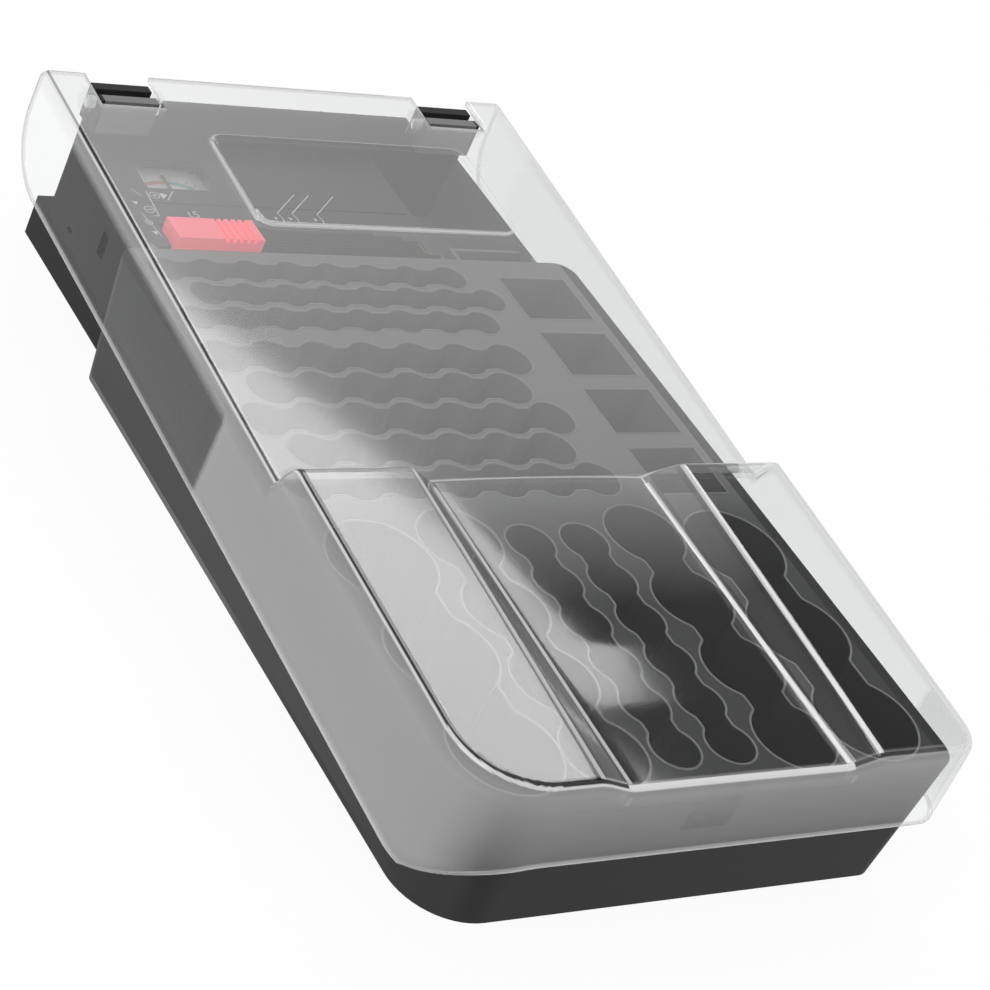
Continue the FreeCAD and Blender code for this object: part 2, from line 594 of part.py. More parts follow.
slider_contact = piece(block("slider_contact", ("slider_length - slider_left - contact_thick", "slider_length - slider_left"),
                             ("tester_front + 3.1", "channel_rear - 2.1"), ("channel_floor + 2.1", "tray_top - 1.1")))
fixed_contact = piece(block("fixed_contact", ("channel_right", "channel_right + contact_thick"),
                            ("tester_front + 1.6", "channel_rear - 4.1"), ("channel_floor + 0.1", "tray_top - 0.6")))
bus_strip = piece(block("bus_strip", ("tester_skin - tester_left", "tester_right - tester_skin"),
                        ("channel_rear + tester_skin + 2.4 + slide_play", "channel_rear + tester_skin + 3.4 + slide_play"),
                        ("slit_low", "slit_high")))

# Meter: clear window, white dial, pivoted needle and armature inside a ring magnet, carried by a frame
meter_window = piece(block("meter_window", ("window_play - meter_x - meter_width / 2", "meter_width / 2 - meter_x - window_play"),
                           ("meter_y - meter_depth / 2 + window_play", "meter_y + meter_depth / 2 - window_play"),
                           ("tray_top - window_thick - 0.2", "tray_top - 0.2")))
dial_x = ("-meter_x - meter_width / 2 - 2", "meter_width / 2 - meter_x + 2")
dial_y = ("pivot_y - armature_radius - 1", "meter_y + meter_depth / 2 + 2")
meter_dial = piece(carved("meter_dial", block("dial_plate", dial_x, dial_y, ("dial_level", "dial_level + dial_thick")),
                          [rod("dial_hole", "shaft_radius + 1", "dial_thick + 2", ("-meter_x", "pivot_y", "dial_level - 1"))]))
pin_low = "dial_level - armature_height - 1.6"
meter_armature = piece(joined("meter_armature", [
    rod("coil_drum", "armature_radius", "armature_height", ("-meter_x", "pivot_y", "dial_level - armature_height - 0.6")),
    rod("coil_shaft", "shaft_radius", "needle_level - dial_level + armature_height + 1.6", ("-meter_x", "pivot_y", pin_low)),
]))
meter_needle = piece(carved("meter_needle", joined("needle_body", [
    block("needle_blade", ("-meter_x - 0.5", "0.5 - meter_x"), ("pivot_y - 4", "pivot_y + needle_length"),
          ("needle_level - 0.8", "needle_level - 0.3")),
    rod("needle_hub", "shaft_radius + 1", 1.2, ("-meter_x", "pivot_y", "needle_level - 1.2")),
]), [rod("needle_bore", "shaft_radius", 6, ("-meter_x", "pivot_y", "needle_level - 3"))]))
meter_magnet = piece(carved("meter_magnet", rod("magnet_ring", "magnet_radius", "armature_height",
                                                ("-meter_x", "pivot_y", "dial_level - armature_height - 0.6")),
                            [rod("magnet_bore", "armature_radius + 0.5", "armature_height + 2",
                                 ("-meter_x", "pivot_y", "dial_level - armature_height - 1.6"))]))
frame_low = "dial_level - armature_height - 2.6"
meter_frame = piece(carved("meter_frame", joined("frame_body", [
    block("frame_plate", ("-meter_x - magnet_radius - 1", "magnet_radius - meter_x + 1"),
          ("pivot_y - magnet_radius", "meter_y + meter_depth / 2"), (frame_low, "dial_level - armature_height - 0.6")),
    block("frame_post_left", ("-meter_x - magnet_radius - 1", "1 - meter_x - magnet_radius"),
          ("meter_y + 2", "meter_y + meter_depth / 2"), (frame_low, "dial_level")),
    block("frame_post_right", ("magnet_radius - meter_x - 1", "magnet_radius - meter_x + 1"),
          ("meter_y + 2", "meter_y + meter_depth / 2"), (frame_low, "dial_level")),
]), [rod("frame_hole", "shaft_radius + pivot_play", 6, ("-meter_x", "pivot_y", frame_low + " - 1"))]))

# Board with two load resistors, nine volt contacts on the face and rivets of the fixed contact
board_x = ("12 - tester_left", "tester_right - 12")
board_y = ("channel_rear + tester_skin + 7.8", "tester_rear - tester_skin - boss_radius * 2 - 1")
POSTS = [(i, 34 * i - 18, "pivot_y + 12") for i in (-1, 0, 1)]
board_holes = [rod("board_hole_%d" % i, 1.05, 4, (x, y, "board_level - board_thick - 1")) for i, x, y in POSTS]
circuit_board = piece(carved("circuit_board", block("board_plate", board_x, board_y, ("board_level - board_thick", "board_level")),
                             board_holes))
board_screws = piece(joined("board_screws", [rod("board_shank_%d" % i, 0.9, 5, (x, y, "board_level - 5")) for i, x, y in POSTS]
                            + [rod("board_head_%d" % i, 1.7, 1.1, (x, y, "board_level")) for i, x, y in POSTS]))
board_diode = piece(rod("board_diode", 1.2, 5, (-8, "pivot_y + 17", "board_level + 1.2"), "x"))
load_resistors = piece(joined("load_resistors", [rod("resistor_%d" % i, 1.6, 9, (-10 + 16 * i, "pivot_y + 6", "board_level + 1.6"), "x")
                                                 for i in (0, 1)]))
board_posts = [rod("board_post_%d" % i, 2.2, "board_level - board_thick - bay_floor - 1", (x, y, "bay_floor + 1")) for i, x, y in POSTS]
lower_shell.Shapes = lower_shell.Shapes + board_posts
post_holes = [rod("post_hole_%d" % i, 0.9, 8, (x, y, "board_level - 5.2")) for i, x, y in POSTS]
tester_back_shell.Tool.Shapes = tester_back_shell.Tool.Shapes + post_holes

doc.recompute()
os.makedirs("parts", exist_ok=True)
for obj in doc.Objects:
    if "Invalid" in obj.State or "Error" in obj.State:
        raise RuntimeError("object not valid: " + obj.Name)
for obj in NODES:
    shape = obj.Shape
    if shape.isNull() or not shape.isValid() or shape.Volume <= 0:
        raise RuntimeError("piece not valid: " + obj.Label)
    shape.exportStep("parts/%s.step" % obj.Label)
    print(obj.Label, len(shape.Solids), round(shape.Volume, 1), shape.BoundBox)
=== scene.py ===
import json
import math
import bpy
import numpy as np
from mathutils import Matrix, Vector


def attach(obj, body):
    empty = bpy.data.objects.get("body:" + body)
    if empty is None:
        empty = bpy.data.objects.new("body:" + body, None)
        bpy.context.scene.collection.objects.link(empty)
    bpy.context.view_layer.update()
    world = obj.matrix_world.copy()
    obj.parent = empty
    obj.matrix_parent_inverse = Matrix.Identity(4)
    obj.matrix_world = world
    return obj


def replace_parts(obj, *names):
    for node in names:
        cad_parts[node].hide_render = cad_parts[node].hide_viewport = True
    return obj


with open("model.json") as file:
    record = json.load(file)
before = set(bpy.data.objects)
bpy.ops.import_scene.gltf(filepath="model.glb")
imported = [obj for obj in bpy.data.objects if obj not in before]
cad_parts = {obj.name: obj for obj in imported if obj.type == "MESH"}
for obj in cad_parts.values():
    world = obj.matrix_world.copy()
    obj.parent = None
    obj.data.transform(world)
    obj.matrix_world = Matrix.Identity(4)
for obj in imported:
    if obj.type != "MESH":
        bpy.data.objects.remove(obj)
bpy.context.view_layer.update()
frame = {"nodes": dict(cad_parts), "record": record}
NODES = frame["nodes"]

MM = 0.001


def node_tree(name):
    """New node material with its Principled shader and output."""
    mat = bpy.data.materials.new(name)
    mat.use_nodes = True
    tree = mat.node_tree
    return mat, tree, tree.nodes["Principled BSDF"], tree.nodes["Material Output"]


def object_noise(tree, scale, detail=3.0, rough=0.55, stretch=(1.0, 1.0, 1.0)):
    """Noise on the object's own coordinates."""
    coords = tree.nodes.new("ShaderNodeTexCoord")
    mapping = tree.nodes.new("ShaderNodeMapping")
    mapping.inputs["Scale"].default_value = stretch
    noise = tree.nodes.new("ShaderNodeTexNoise")
    noise.inputs["Scale"].default_value = scale
    noise.inputs["Detail"].default_value = detail
    noise.inputs["Roughness"].default_value = rough
    tree.links.new(coords.outputs["Object"], mapping.inputs["Vector"])
    tree.links.new(mapping.outputs["Vector"], noise.inputs["Vector"])
    return noise


def ramp(tree, source, stops):
    """Colour ramp fed by one value."""
    node = tree.nodes.new("ShaderNodeValToRGB")
    elements = node.color_ramp.elements
    while len(elements) < len(stops):
        elements.new(0.5)
    for element, (place, colour) in zip(elements, stops):
        element.position = place
        element.color = colour
    tree.links.new(source, node.inputs["Fac"])
    return node


def moulded_plastic(name, dark, light, rough, grain=900.0, bump=0.05):
    """Moulded plastic with faint tone drift and a fine spark-eroded grain."""
    mat, tree, shader, _ = node_tree(name)
    drift = object_noise(tree, 14.0, 4.0)
    tone = ramp(tree, drift.outputs["Fac"], [(0.3, (*dark, 1.0)), (0.72, (*light, 1.0))])
    tree.links.new(tone.outputs["Color"], shader.inputs["Base Color"])
    fine = object_noise(tree, grain, 2.0)
    spread = tree.nodes.new("ShaderNodeMapRange")
    spread.inputs["To Min"].default_value = rough - 0.05
    spread.inputs["To Max"].default_value = rough + 0.07
    tree.links.new(drift.outputs["Fac"], spread.inputs["Value"])
    tree.links.new(spread.outputs["Result"], shader.inputs["Roughness"])
    relief = tree.nodes.new("ShaderNodeBump")
    relief.inputs["Strength"].default_value = bump
    relief.inputs["Distance"].default_value = 0.0002
    tree.links.new(fine.outputs["Fac"], relief.inputs["Height"])
    tree.links.new(relief.outputs["Normal"], shader.inputs["Normal"])
    return mat


def math_node(tree, kind, a, b=None):
    """Math node on two sockets or numbers."""
    node = tree.nodes.new("ShaderNodeMath")
    node.operation = kind
    for slot, value in enumerate((a, b)):
        if isinstance(value, (int, float)):
            node.inputs[slot].default_value = value
        elif value is not None:
            tree.links.new(value, node.inputs[slot])
    return node.outputs["Value"]


# Zones of the tray in metres, since its material reads object coordinates
PLATE_HALF = 0.0842
TONGUE_INSIDE = 0.0735
TONGUE_FRONT = 0.0905
TONGUE_REAR = 0.1485
FRONT_FADE = (-0.155, -0.1505)
CORNER_FADE = (-0.142, -0.095)


def spread(tree, source, low, high, least):
    """Share that rises smoothly from least to one between two values."""
    node = tree.nodes.new("ShaderNodeMapRange")
    node.interpolation_type = "SMOOTHSTEP"
    node.inputs["From Min"].default_value = low
    node.inputs["From Max"].default_value = high
    node.inputs["To Min"].default_value = least
    tree.links.new(source, node.inputs["Value"])
    return node.outputs["Result"]


def tray_plastic(name):
    """Black tray by place with painted light: deep black outer walls with a painted lighter left side, and a
    painted sheen that turns the plate and wells grey, palest over the small cells toward the hinge.
    """
    mat, tree, shader, _ = node_tree(name)
    coords = tree.nodes.new("ShaderNodeTexCoord")
    split = tree.nodes.new("ShaderNodeSeparateXYZ")
    tree.links.new(coords.outputs["Object"], split.inputs["Vector"])
    x, y = split.outputs["X"], split.outputs["Y"]
    # Painted sheen: the plate and wells get lighter along the length toward the hinge, darkest in front and
    # palest over the small cells.
    length_share = math_node(tree, "ADD", math_node(tree, "MULTIPLY", y, 3.0), 0.55)
    plate_sheen_tones = [(0.0, (0.035, 0.035, 0.037, 1.0)), (0.3, (0.045, 0.045, 0.047, 1.0)),
                   (0.42, (0.08, 0.08, 0.082, 1.0)), (0.5, (0.2, 0.2, 0.203, 1.0))]
    tone = ramp(tree, length_share, plate_sheen_tones)
    across = math_node(tree, "ABSOLUTE", x)
    wide = math_node(tree, "LESS_THAN", across, PLATE_HALF)
    narrow = math_node(tree, "LESS_THAN", across, TONGUE_INSIDE)
    ahead_of_tongue = math_node(tree, "LESS_THAN", y, TONGUE_FRONT)
    limit = math_node(tree, "MULTIPLY", wide, math_node(tree, "MAXIMUM", narrow, ahead_of_tongue))
    behind_front = spread(tree, y, *FRONT_FADE, 0.0)
    between = math_node(tree, "MULTIPLY", behind_front, math_node(tree, "LESS_THAN", y, TONGUE_REAR))
    inside = math_node(tree, "MULTIPLY", limit, between)
    # Painted light: the outer left wall ahead of the tongue is lighter than the other deep black walls,
    # fading partly toward the front corner.
    left = math_node(tree, "MULTIPLY", math_node(tree, "LESS_THAN", x, -PLATE_HALF), ahead_of_tongue)
    left = math_node(tree, "MULTIPLY", left, spread(tree, y, *CORNER_FADE, 0.38))
    wall = ramp(tree, left, [(0.0, (0.012, 0.012, 0.013, 1.0)), (1.0, (0.07, 0.07, 0.072, 1.0))])
    mix = tree.nodes.new("ShaderNodeMixRGB")
    tree.links.new(wall.outputs["Color"], mix.inputs["Color1"])
    tree.links.new(inside, mix.inputs["Fac"])
    tree.links.new(tone.outputs["Color"], mix.inputs["Color2"])
    tree.links.new(mix.outputs["Color"], shader.inputs["Base Color"])
    shader.inputs["Roughness"].default_value = 0.55
    shader.inputs["Specular IOR Level"].default_value = 0.22
    return mat


CLEAR_TINT = (0.985, 0.99, 0.99, 1.0)
LINE_TINT = (0.03, 0.03, 0.035, 1.0)
HEAD_ON_GLOSS = 0.047


def clear_plastic(name, veil, gain, rough=0.035, attribute=None):
    """Clear moulding: see-through core, gloss that grows at grazing angles, and a milky veil; with an
    attribute, the veil also carries painted highlights and reflection, and painted dark refraction lines tint
    the see-through core.
    """
    mat, tree, shader, out = node_tree(name)
    tree.nodes.remove(shader)
    see = tree.nodes.new("ShaderNodeBsdfTransparent")
    see.inputs["Color"].default_value = CLEAR_TINT
    milk = tree.nodes.new("ShaderNodeBsdfDiffuse")
    milk.inputs["Color"].default_value = (0.9, 0.9, 0.9, 1.0)
    gloss = tree.nodes.new("ShaderNodeBsdfGlossy")
    gloss.inputs["Roughness"].default_value = rough
    core = tree.nodes.new("ShaderNodeMixShader")
    core.inputs["Fac"].default_value = veil
    tree.links.new(see.outputs["BSDF"], core.inputs[1])
    tree.links.new(milk.outputs["BSDF"], core.inputs[2])
    shine = 1.0
    if attribute:
        held = tree.nodes.new("ShaderNodeAttribute")
        held.attribute_name = attribute
        tree.links.new(held.outputs["Fac"], core.inputs["Fac"])
        # Painted shade: the shade attribute darkens the see-through tint into dark refraction lines.
        lines = tree.nodes.new("ShaderNodeAttribute")
        lines.attribute_name = "shade"
        tint = ramp(tree, lines.outputs["Fac"], [(0.0, CLEAR_TINT), (1.0, LINE_TINT)])
        tree.links.new(tint.outputs["Color"], see.inputs["Color"])
        polish = tree.nodes.new("ShaderNodeAttribute")
        polish.attribute_name = "polish"
        shine = polish.outputs["Fac"]
    edge = tree.nodes.new("ShaderNodeLayerWeight")
    edge.inputs["Blend"].default_value = 0.5
    grazing = math_node(tree, "POWER", edge.outputs["Facing"], 5.0)
    mirrored = math_node(tree, "ADD", math_node(tree, "MULTIPLY", grazing, 0.95), HEAD_ON_GLOSS)
    share = math_node(tree, "MULTIPLY", math_node(tree, "MULTIPLY", mirrored, gain), shine)
    skin = tree.nodes.new("ShaderNodeMixShader")
    tree.links.new(math_node(tree, "MINIMUM", share, 1.0), skin.inputs["Fac"])
    tree.links.new(core.outputs["Shader"], skin.inputs[1])
    tree.links.new(gloss.outputs["BSDF"], skin.inputs[2])
    tree.links.new(skin.outputs["Shader"], out.inputs["Surface"])
    return mat


def metal(name, colour, rough):
    """Plain metal with fine streaks."""
    mat, tree, shader, _ = node_tree(name)
    shader.inputs["Metallic"].default_value = 1.0
    streak = object_noise(tree, 400.0, 2.0, 0.5, (1.0, 8.0, 1.0))
    darker = [0.8 * c for c in colour]
    tone = ramp(tree, streak.outputs["Fac"], [(0.3, (*darker, 1.0)), (0.7, (*colour, 1.0))])
    tree.links.new(tone.outputs["Color"], shader.inputs["Base Color"])
    shader.inputs["Roughness"].default_value = rough
    return mat


MATERIALS = {
    "tray_black": tray_plastic("tray_black"),
    "tester_black": moulded_plastic("tester_black", (0.014, 0.014, 0.015), (0.019, 0.019, 0.02), 0.5),
    "lid_clear": clear_plastic("lid_clear", 0.03, 1.6, 0.06, "milk_and_highlights"),
    "lid_inner": clear_plastic("lid_inner", 0.0, 0.5, 0.08),
    # Painted highlight: the rim faces of the lid's wall get a thicker milky veil so the cut edges read as
    # bright lines.
    "lid_rim": clear_plastic("lid_rim", 0.3, 1.6),
    "lid_bars": clear_plastic("lid_bars", 0.9, 1.4),
    "lid_bosses": clear_plastic("lid_bosses", 0.05, 1.0),
    "mark_white": moulded_plastic("mark_white", (0.78, 0.78, 0.78), (0.84, 0.84, 0.84), 0.5),
    "dial_red": moulded_plastic("dial_red", (0.6, 0.05, 0.08), (0.66, 0.07, 0.1), 0.5),
    "dial_yellow": moulded_plastic("dial_yellow", (0.75, 0.5, 0.06), (0.8, 0.55, 0.08), 0.5),
    "dial_green": moulded_plastic("dial_green", (0.03, 0.3, 0.3), (0.05, 0.36, 0.34), 0.5),
    # Painted highlight: the well lips are a lighter grey than most of the black tray, so they read as light
    # outlines.
    "well_edge": moulded_plastic("well_edge", (0.17, 0.17, 0.172), (0.21, 0.21, 0.212), 0.3),
    "window_clear": clear_plastic("window_clear", 0.01, 1.0),
    "slider_red": moulded_plastic("slider_red", (0.98, 0.15, 0.2), (1.0, 0.18, 0.23), 0.35),
    "contact_brass": metal("contact_brass", (0.78, 0.6, 0.32), 0.3),
    "coil_brass": metal("coil_brass", (0.6, 0.33, 0.16), 0.35),
    "screw_steel": metal("screw_steel", (0.55, 0.55, 0.57), 0.32),
    "dial_white": moulded_plastic("dial_white", (0.74, 0.74, 0.73), (0.8, 0.8, 0.79), 0.5),
    "needle_black": moulded_plastic("needle_black", (0.02, 0.02, 0.02), (0.03, 0.03, 0.03), 0.5),
    "magnet_dark": moulded_plastic("magnet_dark", (0.06, 0.06, 0.065), (0.09, 0.09, 0.095), 0.4),
    "board_green": moulded_plastic("board_green", (0.22, 0.15, 0.07), (0.28, 0.2, 0.1), 0.55),
    "resistor_tan": moulded_plastic("resistor_tan", (0.5, 0.38, 0.24), (0.58, 0.45, 0.3), 0.4),
}


def paint_slider_glow():
    """Painted glow: emission makes the red slider give back a little more red than falls on it."""
    sockets = MATERIALS["slider_red"].node_tree.nodes["Principled BSDF"].inputs
    sockets["Emission Color"].default_value = (1.0, 0.1, 0.14, 1.0)
    sockets["Emission Strength"].default_value = 0.4


def dress_solids():
    """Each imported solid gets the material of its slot."""
    for part in frame["record"]["subparts"]:
        obj = NODES[part["node"]]
        obj.data.materials.clear()
        obj.data.materials.append(MATERIALS[part["material_slot"]])


paint_slider_glow()
dress_solids()


def grid_piece(name, points, faces, mat, body, smooth=True):
    """Mesh piece at the origin from computed points and faces, riding on a body."""
    mesh = bpy.data.meshes.new(name)
    mesh.from_pydata([tuple(p) for p in points], [], faces)
    mesh.update()
    if smooth:
        mesh.polygons.foreach_set("use_smooth", [True] * len(mesh.polygons))
    piece = bpy.data.objects.new(name, mesh)
    bpy.context.scene.collection.objects.link(piece)
    piece.data.materials.append(mat)
    if body:
        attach(piece, body)
    return piece


# Lid in millimetres: outline, heights of the top, heights of the lower edge, badge, hinge and grid
LID_HALF = 92.5
LID_FRONT = 161.5
LID_REAR = 158.0
LID_LEAN = 0.02
LID_SKIN = 1.6
TOP_INSET = 1.2
WALL_POLISH = 0.4
WALL_LEVELS = 9
RISER_SLOPE = 2.2
RISER_ROUND = 6.0
LID_ROLL = 3.0
CORNER_LEFT = 27.5
CORNER_RIGHT = 12.5
STEP_Y = -31.0
TOP_REAR = 65.8
TOP_STEP = 53.6
PANEL_STEP = 64.0
PANEL_FRONT = 57.0
LOW_STEP = 55.8
LOW_FRONT = 53.6
LOW_HALF = 40.0
PANEL_INNER = 50.5
RIM_LEFT_FRONT = 13.4
RIM_FRONT = 27.9
RIM_REAR = 29.4
RIM_TURN = (-90.8, 34.0)
CHEEK = 23.0
BADGE_X = 8.0
BADGE_Y = 107.0
BADGE_HALF_WIDTH = 51.0
BADGE_HALF_DEPTH = 22.5
BADGE_CORNER = 6.0
BADGE_RISE = 0.7
HINGE_Y = 149.6
HINGE_Z = 60.4
GAP_X = (52.2, 75.8)
GAP_Y = 142.0
HELD_HALF = 53.0
RIM_STEPS = (0.0, 0.08, 0.25, 0.5, 0.8, 1.1, 1.4, 1.75, 2.05, 2.4, 2.7, 2.95, 3.2)


def smooth_min(a, b, k):
    """Smaller of two values with the crease rounded over k."""
    h = np.clip(0.5 + 0.5 * (b - a) / k, 0.0, 1.0)
    return b * (1 - h) + a * h - k * h * (1 - h)


def smooth_max(a, b, k):
    """Larger of two values with the crease rounded over k."""
    return -smooth_min(-a, -b, k)


def inside_depth(x, y, inset):
    """Distance inside the lid's plan outline, which is open toward the hinge."""
    half = LID_HALF - inset
    front = -LID_FRONT + inset
    far = 400.0
    cy = (front + far) / 2
    radius = np.where(x < 0, CORNER_LEFT - inset, CORNER_RIGHT - inset)
    qx = np.abs(x) - half + radius
    qy = np.abs(y - cy) - (far - cy) + radius
    outer = np.hypot(np.maximum(qx, 0), np.maximum(qy, 0))
    return -(np.minimum(np.maximum(qx, qy), 0) + outer - radius)


def lid_top(x, y):
    """Lid height: sloped hinge half, then a riser to side panels, a low middle and slanted strips."""
    hinge_half = TOP_STEP + (TOP_REAR - TOP_STEP) * (y - STEP_Y) / (LID_REAR - STEP_Y)
    t = (STEP_Y - y) / (LID_FRONT + STEP_Y)
    crown = 0.15 + 0.8 * np.clip((y + 130.0) / 25.0, 0, 1)
    low = LOW_STEP + (LOW_FRONT - LOW_STEP) * t + crown * np.clip(1 - (x / LOW_HALF) ** 2, 0, 1)
    rise = PANEL_STEP - LOW_STEP + (PANEL_FRONT - LOW_FRONT - PANEL_STEP + LOW_STEP) * t
    slant = rise * (np.abs(x) - LOW_HALF) / (PANEL_INNER - LOW_HALF)
    front_half = low + smooth_max(0.0 * slant, smooth_min(rise, slant, 0.9), 0.9)
    riser = hinge_half + RISER_SLOPE * (STEP_Y - y)
    body = smooth_max(hinge_half, smooth_min(front_half, riser, RISER_ROUND), 1.2)
    body = body + BADGE_RISE * np.clip(0.5 - badge_edge(x, y) / 0.5, 0, 1)
    depth = np.clip(inside_depth(x, y, TOP_INSET), 0, LID_ROLL)
    return body - (LID_ROLL - np.sqrt(LID_ROLL ** 2 - (LID_ROLL - depth) ** 2))


def marks(stops):
    """Grid lines from (end, spacing) stops, each end kept exactly."""
    lines = [stops[0][0]]
    for (a, _), (b, gap) in zip(stops, stops[1:]):
        count = max(1, int(round((b - a) / gap)))
        lines += list(np.linspace(a, b, count + 1)[1:])
    return np.array(lines)


def lid_rim(x, y):
    """Height of the lid's lower edge: level in front, falling along the left, round at the cheeks."""
    share = (LID_REAR - CHEEK - y) / (LID_REAR - CHEEK + LID_FRONT)
    left = RIM_REAR + (RIM_LEFT_FRONT - RIM_REAR) * share
    low = RIM_REAR + (RIM_LEFT_FRONT - RIM_REAR) * (1 - CORNER_LEFT / (LID_REAR - CHEEK + LID_FRONT))
    turn = np.clip((x - RIM_TURN[0]) / RIM_TURN[1], 0, 1)
    ahead = RIM_FRONT + (RIM_REAR - RIM_FRONT) * np.clip((y + LID_FRONT) / 60.0, 0, 1)
    level = low + (ahead - low) * (1 - (1 - turn) ** 2.6)
    straight = np.where(x < RIM_TURN[0], left, np.maximum(left, level))
    bend = np.clip(y - (LID_REAR - CHEEK), 0, CHEEK)
    return np.where(y > LID_REAR - CHEEK, RIM_REAR + CHEEK - np.sqrt(CHEEK ** 2 - bend ** 2), straight)


def badge_edge(x, y):
    """Signed distance from the rounded outline of the raised field on the hinge half."""
    qx = np.abs(x - BADGE_X) - BADGE_HALF_WIDTH + BADGE_CORNER
    qy = np.abs(y - BADGE_Y) - BADGE_HALF_DEPTH + BADGE_CORNER
    outside = np.hypot(np.maximum(qx, 0), np.maximum(qy, 0))
    return np.minimum(np.maximum(qx, qy), 0) + outside - BADGE_CORNER


def lid_milk_and_highlights(x, y, z, on_top):
    """Milkiness plus painted light: misty hinge half with a painted highlight outlining the badge, left panel
    frosted and lightened by a painted reflection, walls, and painted highlight lines along the folds.
    """
    ahead = np.clip((STEP_Y - y) / 130.0, 0, 1)
    back = np.clip((y - STEP_Y) / 180.0, 0, 1)
    badge = badge_edge(x, y)
    hinge_half = np.where(badge < 0, 0.24, 0.19 + 0.13 * back)
    # Painted highlight: a bright band of veil along the badge's raised edge.
    hinge_half = hinge_half + (0.8 - hinge_half) * np.exp(-(badge / 0.38) ** 2)
    # Left panel: real frosting plus a painted reflection that lightens it.
    left_panel_haze_and_reflection = 0.28 - 0.06 * ahead
    middle = 0.01 + 0.23 * np.clip(1 - ahead / 0.45, 0, 1)
    right_panel = 0.004 + 0.07 * np.clip(1 - ahead / 0.25, 0, 1)
    front_half = np.where(x < -PANEL_INNER, left_panel_haze_and_reflection, np.where(x > PANEL_INNER, right_panel, middle))
    top = np.where(y > STEP_Y - 1.5, hinge_half, front_half)
    depth = inside_depth(x, y, TOP_INSET)
    # Painted highlights: bright and faint lines of veil across the rolled edge of the top, a white band in
    # front of the low middle, weaker on the right.
    highlight_strength = np.where(x > 0, 0.35, 0.8)
    held = np.where((x < -PANEL_INNER) & (y < STEP_Y - 4.0), 3.3, 2.7)
    line = np.where(depth < held, 0.0, 0.45 * highlight_strength)
    line = np.where(depth < 0.8, 0.3, np.where(depth < 1.75, highlight_strength, line))
    fore = (np.abs(x) < LOW_HALF + 1.0) & (y < STEP_Y)
    line = np.where(fore & (depth > 0.8), np.where(depth < 2.75, 0.85, 0.2), line)
    top = np.where(depth < 3.35, np.where(x > 85.0, np.minimum(line, 0.2), line), top)
    across = np.abs(x)
    # Painted highlights: bright lines of veil along the creases of the slanted strips and along the riser's
    # crest.
    fold = (y < STEP_Y - 6.0) & ((np.abs(across - PANEL_INNER) < 0.75) | (np.abs(across - LOW_HALF) < 0.75))
    top = np.where(fold & (depth > 3.1), 0.62, top)
    crest_highlight = (np.abs(y - STEP_Y + 3.2) < 0.6) & (depth > 3.1)
    top = np.where(crest_highlight, 0.55, top)
    ragged = 6.0 * np.sin(y * 1.7) * np.sin(y * 0.61 + 1.0)
    left_wall = np.where(y + ragged < -2.0, 0.4, 0.0)
    front_wall = 0.1 + 0.22 * np.clip((z - 28.0) / 24.0, 0, 1)
    turned = np.clip((x + LID_HALF - 2.0) / 14.0, 0, 1)
    corner = left_wall + (front_wall - left_wall) * turned * turned * (3 - 2 * turned)
    wall = np.where(x < -LID_HALF + 6.0, left_wall, 0.05)
    wall = np.where(y < -LID_FRONT + 30.0, corner, wall)
    return np.where(on_top, top, wall)


def lid_shade(x, y, on_top):
    """Darkness of the refraction lines just inside the folds of the moulding."""
    depth = inside_depth(x, y, TOP_INSET)
    panel = (x < -PANEL_INNER) & (y < STEP_Y - 4.0)
    border = (depth > 1.7) & (depth < np.where(panel, 3.3, 2.7)) & (x < 45.0)
    border = border & ((y > STEP_Y) | (x < -LOW_HALF - 1.0))
    across = np.abs(x)
    strip = (y < STEP_Y - 6.0) & (((across > LOW_HALF + 0.9) & (across < LOW_HALF + 2.0))
                                 | ((across > PANEL_INNER - 2.2) & (across < PANEL_INNER - 0.9)))
    weight = np.where(border, np.where(y < STEP_Y, 0.9, 0.6), np.where(strip & (depth > 3.1), 0.55, 0.0))
    return np.where(on_top, weight, 0.0)


TOP_HALF = LID_HALF - TOP_INSET
TOP_FRONT = -LID_FRONT + TOP_INSET
TURN_LEFT = CORNER_LEFT - TOP_INSET
TURN_RIGHT = CORNER_RIGHT - TOP_INSET


def lid_rows():
    """Grid rows from front to hinge, close at the front roll, the riser, the badge and the cheeks."""
    near = TURN_LEFT * (1 - np.cos(np.linspace(0, math.pi / 2, 26)))
    rim_rows = [TOP_FRONT + mark for mark in RIM_STEPS]
    rows = rim_rows + [y for y in TOP_FRONT + near if y > rim_rows[-1] + 0.3]
    cheek_start = LID_REAR - CHEEK
    gap_turn = math.asin((GAP_Y - cheek_start) / CHEEK)
    rows += list(marks([(rows[-1], 0), (-42.0, 2.2), (-29.5, 0.5), (82.3, 2.4), (86.7, 0.45),
                        (127.3, 2.4), (131.7, 0.45), (cheek_start, 1.1)]))[1:]
    rows += list(cheek_start + CHEEK * np.sin(np.linspace(0, gap_turn, 5)))[1:]
    rows += list(cheek_start + CHEEK * np.sin(np.linspace(gap_turn, math.pi / 2, 12)))[1:]
    return np.array(rows)


